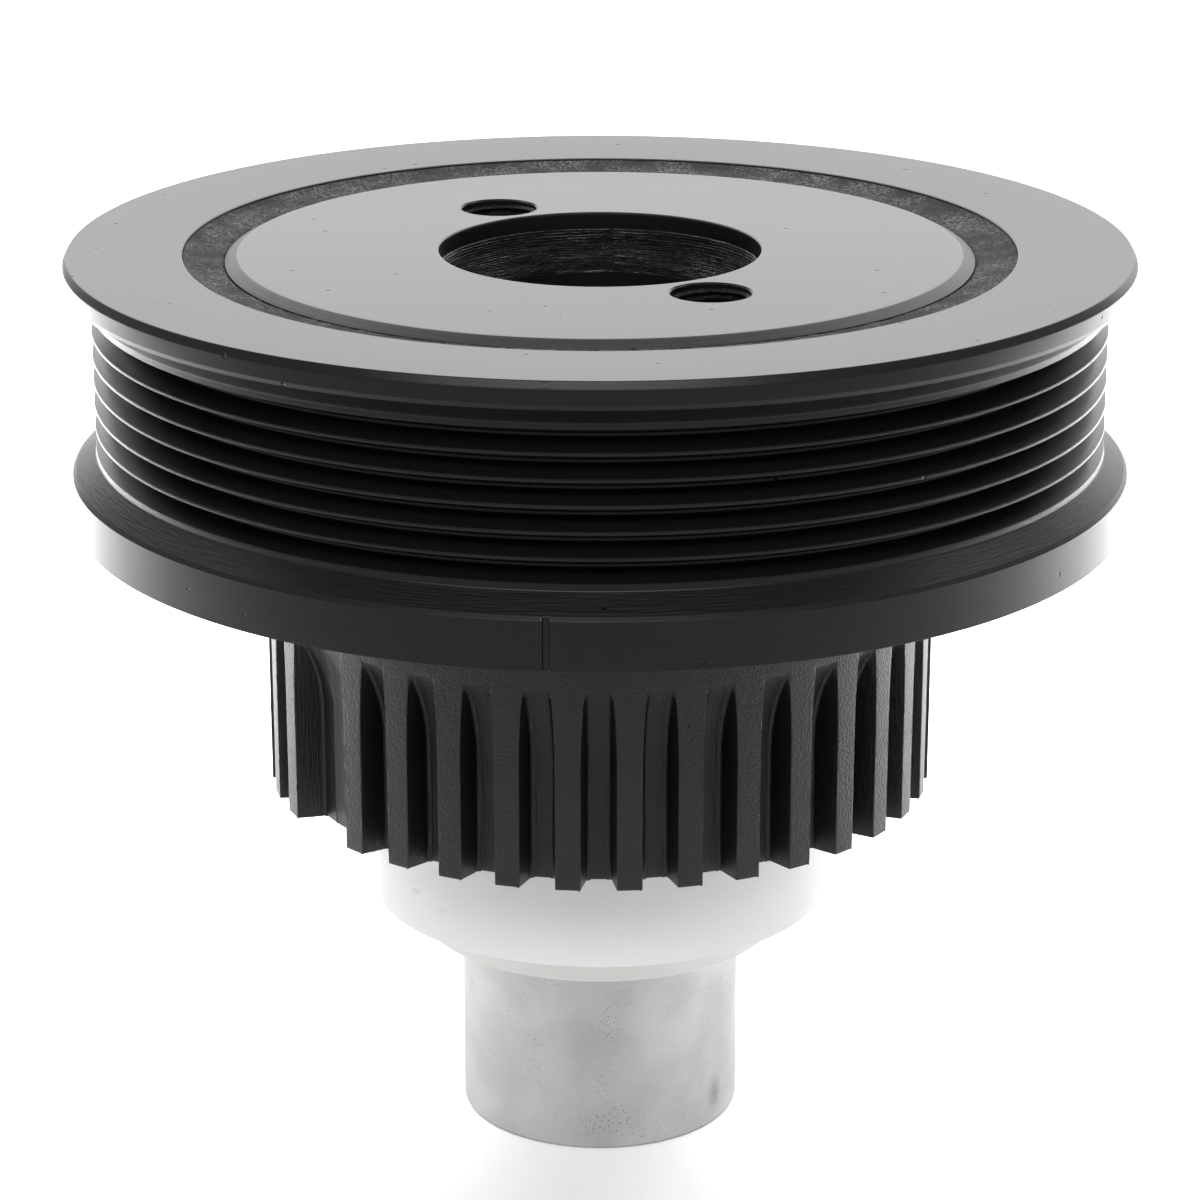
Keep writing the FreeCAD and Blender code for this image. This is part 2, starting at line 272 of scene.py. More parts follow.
@dataclass(frozen=True)
class GroundIron(Finish):
    """Bare iron, ground round the axis: silvery with fine rings, clusters of pits and duller clouds."""

    name: str = "bare_ground_iron"
    colour: str = "#bdbdbc"
    dull_colour: str = "#b3b3b2"
    stain_colour: str = "#6e6d6a"
    roughness: float = 0.54
    unevenness: float = 0.02
    stroke: float = 0.004
    ring_size: float = 0.25
    ring_depth: float = 0.035
    pore_spacing: float = 0.55
    pore_depth: float = 0.03
    cluster_size: float = 7.0
    cloud_size: float = 11.0
    stain_strength: float = 0.6
    stain_place: tuple[float, float, float] = (18.7, -10.2, 5.0)
    stain_reach: tuple[float, float, float] = (2.2, 2.2, 3.6)

    def shade(self, tree: NodeTree, place: NodeSocket) -> dict:
        """Give a metal that mirrors softly, with rings too fine to count, cut pores and one soft dark stain.

        Args:
            tree: Tree that gets the nodes.
            place: Object coordinates.

        Returns:
            Inputs of the shader.
        """
        rings = add_node(tree, "TexNoise", {
            "Vector": self.lathe_vector(tree, place, self.stroke), "Scale": per_metre(self.ring_size),
            "Detail": 4.0})
        relief = add_node(tree, "Bump", {"Height": rings, "Distance": self.ring_depth * MM})
        # Pores lie in clusters, so a broad noise says where they may open
        pores = add_node(tree, "TexVoronoi", {"Vector": place, "Scale": per_metre(self.pore_spacing)})
        cluster = add_node(tree, "TexNoise", {
            "Vector": place, "Scale": per_metre(self.cluster_size), "Detail": 1.0})
        width = add_node(tree, "MapRange", {
            "Value": cluster, "From Min": 0.34, "From Max": 0.7, "To Min": 0.0, "To Max": 0.2})
        pore = add_node(tree, "Math", {0: pores.outputs["Distance"], 1: width}, operation="LESS_THAN")
        relief = add_node(tree, "Bump", {
            "Height": pore, "Distance": self.pore_depth * MM, "Normal": relief}, invert=True)
        clouds = add_node(tree, "TexNoise", {
            "Vector": place, "Scale": per_metre(self.cloud_size), "Detail": 3.0})
        dull = add_node(tree, "MapRange", {"Value": clouds, "From Min": 0.4, "From Max": 0.64})
        centre = tuple(-where / reach for where, reach in zip(self.stain_place, self.stain_reach))
        around = add_node(tree, "Mapping", {
            "Vector": place, "Location": centre, "Scale": tuple(per_metre(r) for r in self.stain_reach)})
        stain = add_node(tree, "TexGradient", {0: around}, gradient_type="SPHERICAL").outputs["Fac"]
        faint = add_node(tree, "Math", {0: stain, 1: self.stain_strength}, operation="MULTIPLY")
        tone = linear(self.colour)
        for share, colour in (
            (dull, self.dull_colour), (faint, self.stain_colour), (pore, self.stain_colour),
        ):
            tone = add_node(tree, "Mix", {
                "Factor": share, "A": tone, "B": linear(colour)}, data_type="RGBA").outputs["Result"]
        gloss = add_node(tree, "MapRange", {
            "Value": clouds, "From Min": 0.35, "From Max": 0.65,
            "To Min": self.roughness - self.unevenness, "To Max": self.roughness + self.unevenness})
        return {"Base Color": tone, "Metallic": 1.0, "Roughness": gloss, "Normal": relief}


@dataclass(frozen=True)
class VulcanisedRubber(Finish):
    """Black nitrile rubber, squeezed in and trimmed: matt, with a crumbly grain."""

    name: str = "vulcanised_rubber"
    colour: str = "#3a3a3a"
    # Colour of the paler crumbs: partly dust, partly a painted sheen that stands in for the glancing
    # reflection
    dust_and_sheen_colour: str = "#7c7c7a"
    crumb_size: float = 0.5
    crumb_depth: float = 0.12
    patch_size: float = 6.0

    def shade(self, tree: NodeTree, place: NodeSocket) -> dict:
        """Give a dull black with paler crumbs, partly dust and partly painted sheen, and no clear highlight.

        Args:
            tree: Tree that gets the nodes.
            place: Object coordinates.

        Returns:
            Inputs of the shader.
        """
        crumbs = add_node(tree, "TexNoise", {
            "Vector": place, "Scale": per_metre(self.crumb_size), "Detail": 6.0})
        # Paler crumbs, partly dust and partly painted sheen
        dust_and_sheen = add_node(tree, "MapRange", {"Value": crumbs, "From Min": 0.42, "From Max": 0.7})
        # Dust stays in some places and is rubbed off in others, and the painted sheen on the crumbs follows
        # the same patches
        patches = add_node(tree, "TexNoise", {
            "Vector": place, "Scale": per_metre(self.patch_size), "Detail": 2.0})
        dust_and_sheen_patches = add_node(tree, "MapRange", {
            "Value": patches, "From Min": 0.38, "From Max": 0.6, "To Min": 0.1, "To Max": 1.0})
        share = add_node(tree, "Math", {0: dust_and_sheen, 1: dust_and_sheen_patches}, operation="MULTIPLY")
        # The black is painted paler where the crumbs carry dust and painted sheen
        tone = add_node(tree, "Mix", {
            "Factor": share, "A": linear(self.colour), "B": linear(self.dust_and_sheen_colour)}, data_type="RGBA")
        relief = add_node(tree, "Bump", {"Height": crumbs, "Distance": self.crumb_depth * MM})
        # The crumbly skin hides the mirror that smooth rubber is at a glancing angle, hence the low index;
        # the paler crumbs paint some of that glancing sheen into the colour instead
        return {"Base Color": tone.outputs["Result"], "Roughness": 0.75, "IOR": 1.15, "Normal": relief}


@dataclass(frozen=True)
class MouldedPlastic(Finish):
    """White acetal, moulded: smooth and slightly waxy, with faint flow marks and a few scuffs."""

    name: str = "moulded_white_acetal"
    colour: str = "#dbdbd9"
    scuff_colour: str = "#b9b9b6"
    flow_size: float = 4.0
    flow_depth: float = 0.03
    stroke: float = 0.004
    scuff_size: float = 0.7
    scuff_spacing: float = 9.0

    def shade(self, tree: NodeTree, place: NodeSocket) -> dict:
        """Give a clean white with a soft sheen, a barely uneven skin and thin grey scuffs round the axis.

        Args:
            tree: Tree that gets the nodes.
            place: Object coordinates.

        Returns:
            Inputs of the shader.
        """
        flow = add_node(tree, "TexNoise", {
            "Vector": place, "Scale": per_metre(self.flow_size), "Detail": 2.0})
        relief = add_node(tree, "Bump", {"Height": flow, "Distance": self.flow_depth * MM})
        strokes = add_node(tree, "TexNoise", {
            "Vector": self.lathe_vector(tree, place, self.stroke), "Scale": per_metre(self.scuff_size),
            "Detail": 3.0})
        where = add_node(tree, "TexNoise", {
            "Vector": place, "Scale": per_metre(self.scuff_spacing), "Detail": 1.0})
        both = add_node(tree, "Math", {0: strokes, 1: where}, operation="MULTIPLY")
        scuff = add_node(tree, "MapRange", {
            "Value": both, "From Min": 0.42, "From Max": 0.5, "To Min": 0.0, "To Max": 0.6})
        tone = add_node(tree, "Mix", {
            "Factor": scuff, "A": linear(self.colour), "B": linear(self.scuff_colour)}, data_type="RGBA")
        gloss = add_node(tree, "MapRange", {
            "Value": flow, "From Min": 0.3, "From Max": 0.7, "To Min": 0.38, "To Max": 0.48})
        return {"Base Color": tone.outputs["Result"], "Roughness": gloss, "IOR": 1.48, "Normal": relief}


@dataclass(frozen=True)
class Paper(Finish):
    """Pale background paper: even, matt and nearly white, with a grain that barely shows."""

    name: str = "background_paper"
    colour: str = "#f6f6f6"
    grain_size: float = 0.6
    grain_depth: float = 0.01

    def shade(self, tree: NodeTree, place: NodeSocket) -> dict:
        """Give a matt near-white.

        Args:
            tree: Tree that gets the nodes.
            place: Object coordinates.

        Returns:
            Inputs of the shader.
        """
        grain = add_node(tree, "TexNoise", {
            "Vector": place, "Scale": per_metre(self.grain_size), "Detail": 2.0})
        relief = add_node(tree, "Bump", {"Height": grain, "Distance": self.grain_depth * MM})
        return {"Base Color": linear(self.colour), "Roughness": 0.9, "Specular IOR Level": 0.1,
                "Normal": relief}


def soften(bm: BMesh, geom: list[BMEdge] | list[BMVert], width: float, steps: int = ROUNDING_STEPS) -> None:
    """Round the edges of a surface or the corners of an outline.

    Args:
        bm: Mesh that holds them.
        geom: The edges or the corners.
        width: Width that the rounding takes on each side, in millimetres.
        steps: Straight steps in the rounding.
    """
    affect = "EDGES" if isinstance(geom[0], BMEdge) else "VERTICES"
    bmesh.ops.bevel(bm, geom=geom, offset=width * MM, offset_type="OFFSET", affect=affect, segments=steps,
                    profile=0.5, material=-1, clamp_overlap=False)


def draw_path(bm: BMesh, places: list[Vector], roundings: list[float], closed: bool = False,
              steps: int = ROUNDING_STEPS) -> None:
    """Draw a path of straight edges and round its corners.

    Args:
        bm: Mesh that gets the path.
        places: Corners in order, in metres.
        roundings: Rounding of each corner in millimetres, where zero leaves it sharp.
        closed: Whether the last corner joins the first.
        steps: Straight steps in a rounding.
    """
    points = [bm.verts.new(place) for place in places]
    for first, second in zip(points, points[1:]):
        bm.edges.new((first, second))
    if closed:
        bm.edges.new((points[-1], points[0]))
    for wanted in sorted(set(roundings) - {0.0}):
        soften(bm, [p for p, rounding in zip(points, roundings) if rounding == wanted], wanted, steps)


def spin(bm: BMesh, geom: list, angle: float, steps: int, copy: bool = False, rise: float = 0.0) -> list:
    """Turn part of a mesh about the axis.

    Args:
        bm: Mesh that holds it.
        geom: What is turned.
        angle: Angle in radians.
        steps: Number of steps.
        copy: Whether the steps are copies and not joined by faces.
        rise: How far up each step goes, in metres.

    Returns:
        What lies at the last step.
    """
    return bmesh.ops.spin(bm, geom=geom, cent=(0, 0, 0), axis=(0, 0, 1), dvec=(0, 0, rise), angle=angle,
                          steps=steps, use_merge=False, use_duplicate=copy,
                          use_normal_flip=False)["geom_last"]


@dataclass(frozen=True)
class Corner:
    """A corner of an outline to be turned."""

    radius: float
    height: float
    rounding: float = 0.0


@dataclass(frozen=True)
class Lathe:
    """Turns outlines about the balancer's axis."""

    steps: int
    start: float = 0.0
    span: float = WHOLE_TURN

    def turn(self, bm: BMesh, corners: list[Corner], closed: bool = False) -> None:
        """Turn an outline and add what comes of it to a mesh.

        Args:
            bm: Mesh that gets the turned surface.
            corners: Corners of the outline in order.
            closed: Whether the last corner joins the first.
        """
        turned = bmesh.new()
        places = [Vector((0, -corner.radius * MM, corner.height * MM)) for corner in corners]
        draw_path(turned, places, [corner.rounding for corner in corners], closed)
        bmesh.ops.rotate(turned, verts=turned.verts, cent=(0, 0, 0),
                         matrix=Matrix.Rotation(math.radians(self.start), 3, "Z"))
        sectors = 1 if self.steps % SECTORS else SECTORS
        angle = math.radians(self.span) / sectors
        spin(turned, turned.verts[:] + turned.edges[:], angle, self.steps // sectors)
        if sectors > 1:
            sector = turned.verts[:] + turned.edges[:] + turned.faces[:]
            spin(turned, sector, angle * (sectors - 1), sectors - 1, copy=True)
        bmesh.ops.remove_doubles(turned, verts=turned.verts, dist=WELD)
        mesh = bpy.data.meshes.new("turned")
        turned.to_mesh(mesh)
        turned.free()
        bm.from_mesh(mesh)
        bpy.data.meshes.remove(mesh)


def ring_edges(bm: BMesh, radius: float, height: float) -> list[BMEdge]:
    """Open edges of a circle about the axis.

    Args:
        bm: Mesh to look in.
        radius: Radius of the circle in millimetres.
        height: Its height in millimetres.

    Returns:
        The edges whose two ends lie on it.
    """
    slack = RING_SLACK * MM

    def on_ring(vertex: BMVert) -> bool:
        """Whether a point lies on the circle."""
        return abs(radius_of(vertex.co) - radius * MM) < slack and abs(vertex.co.z - height * MM) < slack

    return [edge for edge in bm.edges if edge.is_boundary and all(on_ring(vertex) for vertex in edge.verts)]


def fill_flat(bm: BMesh, edges: list[BMEdge]) -> None:
    """Close a level region between its outer loop and the loops of its holes."""
    bmesh.ops.triangle_fill(bm, edges=edges, use_beauty=True, use_dissolve=False, normal=(0, 0, 1))


def roughen(verts: list[BMVert], layers: tuple[tuple[float, float], ...]) -> None:
    """Push points to and fro by noises, as a rough surface has them.

    Args:
        verts: Points to move.
        layers: Size of a bump and its height in millimetres, for each noise.
    """
    for grain, amount in layers:
        for vertex in verts:
            vertex.co += noise.noise_vector(vertex.co * per_metre(grain)) * amount * MM


def raise_loop(bm: BMesh, loop: list[BMEdge], place_of: Callable[[BMVert], Vector]) -> list[BMEdge]:
    """Pull a loop of edges on to its next level.

    Args:
        bm: Mesh that holds the loop.
        loop: Edges of the loop.
        place_of: Function that gives a new point its place.

    Returns:
        Edges of the new loop.
    """
    made = bmesh.ops.extrude_edge_only(bm, edges=loop)["geom"]
    for vertex in made:
        if isinstance(vertex, BMVert):
            vertex.co = place_of(vertex)
    return [edge for edge in made if isinstance(edge, BMEdge)]


def add_object(name: str, data: ID) -> Object:
    """Add an object to the scene, at the origin.

    Args:
        name: Name of the object.
        data: Its mesh, light or camera.

    Returns:
        The object.
    """
    thing = bpy.data.objects.new(name, data)
    bpy.context.collection.objects.link(thing)
    return thing


def add_mesh(name: str, bm: BMesh, finishes: list[Finish]) -> Object:
    """Make a mesh an object of the scene.

    Args:
        name: Name of the object.
        bm: The mesh, which is freed.
        finishes: Finishes in the order that the faces number them.

    Returns:
        The object.
    """
    mesh = bpy.data.meshes.new(name)
    bm.to_mesh(mesh)
    bm.free()
    for finish in finishes:
        mesh.materials.append(finish.build())
    return add_object(name, mesh)


def finish_piece(bm: BMesh, name: str, finishes: list[Finish], slot: Slot, *nodes: str) -> Object:
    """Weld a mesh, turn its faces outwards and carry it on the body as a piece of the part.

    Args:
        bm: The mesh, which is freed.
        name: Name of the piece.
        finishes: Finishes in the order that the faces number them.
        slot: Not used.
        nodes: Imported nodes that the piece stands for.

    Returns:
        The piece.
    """
    bmesh.ops.remove_doubles(bm, verts=bm.verts, dist=WELD)
    bmesh.ops.recalc_face_normals(bm, faces=bm.faces)
    loose = sum(not edge.is_manifold for edge in bm.edges)
    piece = add_mesh(name, bm, finishes)
    piece.data.shade_smooth()
    piece.data.set_sharp_from_angle(angle=math.radians(SHARP_ANGLE))
    piece.modifiers.new("even_normals", "WEIGHTED_NORMAL").keep_sharp = True
    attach(piece, BODY)
    if nodes:
        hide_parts(*nodes)
    log.info("%s: %d faces, %d open edges", name, len(piece.data.polygons), loose)
    return piece


@dataclass
class PulleyRing:
    """Inertia ring: two flanges, the grooves of a ribbed belt between them, and the timing mark."""

    belt_seat_radius: float = 74.5
    belt_land: float = 0.7
    belt_grooves: int = 6
    belt_pitch: float = 3.56
    belt_angle: float = 40.0
    belt_crest: float = 0.5
    belt_root: float = 0.5
    crest_rounding: float = 0.13
    root_rounding: float = 0.15
    back_flange_radius: float = 78.1
    front_flange_length: float = 2.45
    front_edge_radial: float = 0.6
    front_edge_length: float = 1.1
    front_rounding: float = 0.12
    flange_cone_length: float = 2.9
    flange_break: float = 0.4
    cone_rounding: float = 0.1
    cone_foot_rounding: float = 0.2
    cone_slant: float = 0.4
    back_break: float = 0.15
    back_break_rounding: float = 0.05
    back_rounding: float = 0.3
    back_bore_rounding: float = 0.4
    front_bore_rounding: float = 0.35
    face_dish: float = 0.4
    mark_profile: tuple[tuple[float, float], ...] = ((0.85, 0.0), (0.5, 0.12), (0.36, 0.42), (0.0, 0.48))
    steps: int = 360

    def outline(self) -> list[Corner]:
        """Outline of the ring.

        Returns:
            Its corners from the back face round to the bore.
        """
        low, high = box_of("pulley_ring")
        bore = box_of("rubber_ring")[1].x
        front_radius, back_radius, seat = high.x, self.back_flange_radius, self.belt_seat_radius
        front_edge = high.z - self.front_edge_length
        front_land = front_edge - self.front_flange_length
        front_cone = front_land - self.flange_cone_length
        belt_front = front_cone - self.belt_land
        belt_back = belt_front - self.belt_pitch * self.belt_grooves
        back_cone = belt_back - self.belt_land
        back_land = back_cone - self.flange_cone_length
        slope = self.flange_cone_length / (back_radius - seat)
        mark_depth = self.mark_profile[-1][1]
        corners = [
            Corner(bore, low.z, self.back_bore_rounding),
            Corner(back_radius, low.z, self.back_rounding),
            Corner(back_radius, back_land - self.back_break, self.back_break_rounding),
            Corner(back_radius - mark_depth, back_land + mark_depth * slope, self.cone_rounding),
            Corner(seat, back_cone, self.cone_foot_rounding),
        ]
        for groove in reversed(range(self.belt_grooves)):
            corners += self.groove(belt_front - self.belt_pitch * (groove + 0.5))
        corners += [
            Corner(seat, front_cone, self.cone_foot_rounding),
            Corner(front_radius - self.flange_break, front_land - self.flange_break * slope,
                   self.cone_rounding),
            Corner(front_radius, front_land + self.flange_break, self.cone_rounding),
            Corner(front_radius, front_edge, self.front_rounding),
            Corner(front_radius - self.front_edge_radial, high.z, self.front_rounding),
            Corner(bore, high.z - self.face_dish, self.front_bore_rounding),
        ]
        return corners

    def groove(self, centre: float) -> list[Corner]:
        """Outline of one belt groove.

        Args:
            centre: Height of its middle.

        Returns:
            Its corners, upwards.
        """
        half_mouth = (self.belt_pitch - self.belt_crest) / 2
        half_root = self.belt_root / 2
        depth = (half_mouth - half_root) / math.tan(math.radians(self.belt_angle / 2))
        root = self.belt_seat_radius - depth
        return [
            Corner(self.belt_seat_radius, centre - half_mouth, self.crest_rounding),
            Corner(root, centre - half_root, self.root_rounding),
            Corner(root, centre + half_root, self.root_rounding),
            Corner(self.belt_seat_radius, centre + half_mouth, self.crest_rounding),
        ]

    def cut_mark(self, bm: BMesh, columns: list[tuple[float, float]]) -> None:
        """Push the back flange in across the timing mark.

        Args:
            bm: Mesh of the ring.
            columns: Angle and depth of each column of points on one side of the mark.
        """
        low, high = box_of("pulley_ring")
        middle = (low.z + high.z) / 2 * MM
        for vertex in bm.verts:
            turn = abs(turn_of(vertex.co))
            if turn > columns[0][0] or vertex.co.z > middle:
                continue
            depth = min(columns, key=lambda column: abs(column[0] - turn))[1]
            radius, bottom = radius_of(vertex.co), (self.back_flange_radius - depth) * MM
            if radius > bottom:
                vertex.co.x *= bottom / radius
                vertex.co.y *= bottom / radius

    def build(self) -> Object:
        """Turn the ring, with narrow steps across the timing mark.

        Returns:
            The piece.
        """
        bm = bmesh.new()
        corners = self.outline()
        columns = [(math.degrees(math.asin(across / self.back_flange_radius)), depth)
                   for across, depth in self.mark_profile]
        mouth = columns[0][0]
        Lathe(self.steps, mouth, WHOLE_TURN - 2 * mouth).turn(bm, corners, closed=True)
        turns = [-turn for turn, _ in columns] + [turn for turn, _ in columns[-2::-1]]
        for start, end in zip(turns, turns[1:]):
            Lathe(1, start, end - start).turn(bm, corners, closed=True)
        bmesh.ops.remove_doubles(bm, verts=bm.verts, dist=WELD)
        self.cut_mark(bm, columns)
        for face in bm.faces:
            slanted = abs(radius_of(face.normal) - abs(face.normal.z)) < self.cone_slant
            on_flange = radius_of(face.calc_center_median()) > (self.belt_seat_radius + MARGIN) * MM
            heights = [vertex.co.z for vertex in face.verts]
            tall = max(heights) - min(heights) > self.flange_cone_length * MM / 2
            face.material_index = int(slanted and on_flange and tall)
        turned = CoatedIron("coated_turned_ring", ToolMark.TURNED, 0.3, 0.03, 0.33, specular=0.27)
        hatched = CoatedIron("coated_rough_turned_cone", ToolMark.HATCHED, 0.35, 0.09, 0.4, specular=0.2)
        return finish_piece(bm, "pulley_ring_turned", [turned, hatched], Slot.COATED_IRON, "pulley_ring")


@dataclass
class DustCollar:
    """Moulded collar: a sleeve on the neck and a wider skirt that reaches up into the drum."""

    step_radius: float = 27.7
    step_length: float = 5.7
    wall: float = 2.6
    neck_radius: float = 24.0
    edge: float = 0.35
    inner_edge: float = 0.2
    fold: float = 0.25
    inner_fold: float = 0.3
    steps: int = 240

    def build(self) -> Object:
        """Turn the collar with its edges rounded.

        Returns:
            The piece.
        """
        low, high = box_of("dust_collar")
        skirt, inside = high.x, high.x - self.wall
        flange = low.z + self.step_length
        bm = bmesh.new()
        Lathe(self.steps).turn(bm, [
            Corner(self.neck_radius, low.z, self.inner_edge),
            Corner(self.step_radius, low.z, self.edge),
            Corner(self.step_radius, flange, self.fold),
            Corner(skirt, flange, self.edge),
            Corner(skirt, high.z, self.inner_edge),
            Corner(inside, high.z, self.inner_edge),
            Corner(inside, flange + self.wall, self.inner_fold),
            Corner(self.step_radius, flange + self.wall, self.inner_fold),
            Corner(self.step_radius, high.z, self.inner_edge),
            Corner(self.neck_radius, high.z, self.inner_edge),
        ], closed=True)
        return finish_piece(bm, "dust_collar_moulded", [MouldedPlastic()], Slot.WHITE_PLASTIC, "dust_collar")


@dataclass(frozen=True)
class PlanPoint:
    """A point of the drum's plan, as one pass of the cutter sees it."""

    turn: float
    across: float
    out: float
    rounding: float = 0.0

    def place(self, height: float) -> Vector:
        """Where the point is at a height.

        Args:
            height: Height in millimetres.

        Returns:
            The place, in metres.
        """
        angle = math.radians(self.turn)
        x = self.across * math.cos(angle) + self.out * math.sin(angle)
        y = self.across * math.sin(angle) - self.out * math.cos(angle)
        return Vector((x, y, height)) * MM


class HubZone(Enum):
    """Surfaces of the hub that were made in different ways, numbered as its materials are."""

    TURNED = 0
    LAND = 1
    SLOT = 2
    CAST = 3
    GROUND = 4
    RECESS = 5
    SHOULDER = 6


@dataclass
class Hub:
    """Cast hub: front disc with its recess, rim, toothed drum, pocket, neck and ground journal."""

    journal_radius: float = 21.3
    journal_edge: float = 0.4
    journal_edge_rounding: float = 0.1
    crank_bore_radius: float = 16.0
    crank_bore_lead: float = 1.0
    bore_inset: float = 0.5
    keyway_width: float = 6.0
    keyway_depth: float = 2.8
    neck_radius: float = 24.0
    neck_lead: float = 0.8
    boss_radius: float = 25.5
    boss_rounding: float = 0.2
    boss_foot_rounding: float = 2.0
    pocket_radius: float = 38.0
    pocket_corner: float = 3.0
    pocket_rounding: float = 1.0
    pocket_reach: float = 1.0
    web_thickness: float = 19.1
    drum_radius: float = 50.1
    drum_length: float = 42.6
    drum_end_break: float = 0.12
    tooth_positions: int = 36
    missing_tooth: int = -5
    slot_width: float = 5.1
    slot_floor_width: float = 3.5
    slot_floor_step: float = 0.55
    slot_floor_share: float = 0.6
    slot_depth: float = 4.3
    slot_corner: float = 0.45
    slot_straight_length: float = 17.1
    cutter_radius: float = 21.0
    gap_lag: float = 1.6
    mouth_edge: float = 0.14
    mouth_lean: float = 0.64
    burr: float = 0.16
    burr_size: float = 0.55
    burr_threshold: float = 0.1
    cusp_height: float = 0.12
    cusp_width: float = 0.3
    disc_edge_radial: float = 1.8
    disc_edge_length: float = 0.9
    disc_rounding: float = 0.2
    disc_inset: float = 1.0
    recess_radius: float = 23.6
    recess_lip: float = 0.45
    recess_rounding: float = 0.35
    recess_smooth_depth: float = 2.5
    recess_curve: tuple[tuple[float, float], ...] = ((23.6, 4.3), (23.0, 5.5), (22.2, 6.8), (21.3, 7.6))
    recess_line_depth: float = 0.2
    recess_line_width: float = 0.3
    recess_layers: tuple[tuple[float, float], ...] = ((0.9, 0.05), (0.4, 0.04))
    lines_per_step: int = 4
    seat_radius: float = 20.5
    seat_top_depth: float = 8.2
    seat_rounding: float = 0.4
    seat_depth: float = 10.6
    seat_wall: float = 2.0
    puller_holes: int = 2
    puller_circle_radius: float = 31.2
    puller_angle: float = 35.0
    puller_hole_radius: float = 5.75
    puller_hole_depth: float = 13.0
    puller_sink_radius: float = 6.0
    drill_point: float = 118.0
    straight_steps: int = 18
    run_out_steps: int = 26
    land_steps: int = 4
    slot_corner_steps: int = 3
    bore_steps: int = 120
    turned_steps: int = 360
    rough_steps: int = 600
    hole_steps: int = 64

    def __post_init__(self) -> None:
        """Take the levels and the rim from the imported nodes."""
        high = box_of("hub")[1]
        self.rim_radius = high.x
        self.disc_face = high.z
        self.rim_front = self.disc_face - self.disc_edge_length
        self.collar_end = box_of("dust_collar")[0].z
        self.collar_top = box_of("dust_collar")[1].z
        self.ring_back = box_of("pulley_ring")[0].z
        self.drum_end = self.ring_back - self.drum_length
        self.full_depth_end = self.drum_end + self.slot_straight_length
        self.slot_floor = self.drum_radius - self.slot_depth
        self.run_out = math.sqrt(self.cutter_radius ** 2 - (self.cutter_radius - self.slot_depth) ** 2)
        self.tooth_step = WHOLE_TURN / self.tooth_positions
        self.bolt_seat = self.disc_face - self.seat_depth
        self.pocket_floor = self.disc_face - self.web_thickness

    def land(self, first: float, last: float) -> list[PlanPoint]:
        """Points along a tooth's top from one angle up to another, without the last."""
        turns = [first + (last - first) * step / self.land_steps for step in range(self.land_steps)]
        return [PlanPoint(turn, 0, self.drum_radius) for turn in turns]

    def floor(self, turn: float, first: float, last: float) -> list[PlanPoint]:
        """Points about half a millimetre apart on the floor of one pass.

        Args:
            turn: Angle of the pass.
            first: Where the points start across the pass.
            last: Where they end.

        Returns:
            The points.
        """
        steps = max(1, round(abs(last - first) / self.slot_floor_step))
        places = [first + (last - first) * step / steps for step in range(steps + 1)]
        return [PlanPoint(turn, across, self.slot_floor) for across in places]

    def slot_side(self, turn: float, side: int) -> list[PlanPoint]:
        """Half a slot's plan from the middle of the tooth beside it to the slot's own middle.

        Args:
            turn: Angle of the slot.
            side: -1 for the side that comes first, 1 for the other.

        Returns:
            Its points.
        """
        half = self.slot_width / 2
        mouth = math.degrees(math.asin(half / self.drum_radius))
        foot = self.slot_floor_width / 2
        outer = math.sqrt(self.drum_radius ** 2 - half ** 2)
        return [
            *self.land(turn + side * self.tooth_step / 2, turn + side * mouth),
            PlanPoint(turn, side * half, outer, self.mouth_edge),
            PlanPoint(turn, side * foot, self.slot_floor, self.slot_corner),
            *self.floor(turn, side * foot * self.slot_floor_share, 0),
        ]

    def slot_plan(self, turn: float) -> list[PlanPoint]:
        """Plan of one slot with half a tooth on each side."""
        return self.slot_side(turn, -1) + self.slot_side(turn, 1)[-2::-1]

    def gap_plan(self) -> list[PlanPoint]:
        """Plan of the missing tooth.

        Returns:
            Points of three passes side by side, with a cusp between each two.
        """
        half_step = self.tooth_step / 2
        middle = self.missing_tooth * self.tooth_step
        meet = math.radians(half_step / 2)
        reach = self.slot_floor * math.tan(meet) - self.cusp_width
        cusp = self.slot_floor / math.cos(meet) + self.cusp_height
        before, after = middle - half_step, middle + half_step
        return [
            *self.slot_side(before, -1)[:-1],
            *self.floor(before, 0, reach),
            PlanPoint(middle - half_step / 2, 0, cusp),
            *self.floor(middle, -reach, reach),
            PlanPoint(middle + half_step / 2, 0, cusp),
            *self.floor(after, -reach, 0),
            *self.slot_side(after, 1)[-2::-1],
        ]

    def draw_plan(self, bm: BMesh, points: list[PlanPoint]) -> None:
        """Draw an open run of the drum's plan at its end, and round its corners."""
        places = [point.place(self.drum_end) for point in points]
        draw_path(bm, places, [point.rounding for point in points], steps=self.slot_corner_steps)

    def drum_plan(self, bm: BMesh) -> list[BMEdge]:
        """Draw the whole plan of the drum: one slot repeated round it, and the missing tooth.

        Args:
            bm: Empty mesh.

        Returns:
            Edges of the closed plan.
        """
        # The missing tooth's plan takes the place of two slots, and one slot is drawn before it is copied
        copies = self.tooth_positions - 3
        self.draw_plan(bm, self.slot_plan((self.missing_tooth + 1.5) * self.tooth_step))
        spin(bm, bm.verts[:] + bm.edges[:], math.radians(self.tooth_step * copies), copies, copy=True)
        self.draw_plan(bm, self.gap_plan())
        bmesh.ops.remove_doubles(bm, verts=bm.verts, dist=WELD)
        return bm.edges[:]

    def pass_of(self, turn: float) -> tuple[float, float]:
        """Find the cutter pass nearest to an angle.

        Args:
            turn: The angle.

        Returns:
            Angle of the pass, and how much later it leaves the drum.
        """
        missing = self.missing_tooth * self.tooth_step
        away = (turn - missing + WHOLE_TURN / 2) % WHOLE_TURN - WHOLE_TURN / 2
        if abs(away) < self.tooth_step / 4:
            return missing, self.gap_lag
        return missing + (math.floor(away / self.tooth_step) + 0.5) * self.tooth_step, 0.0

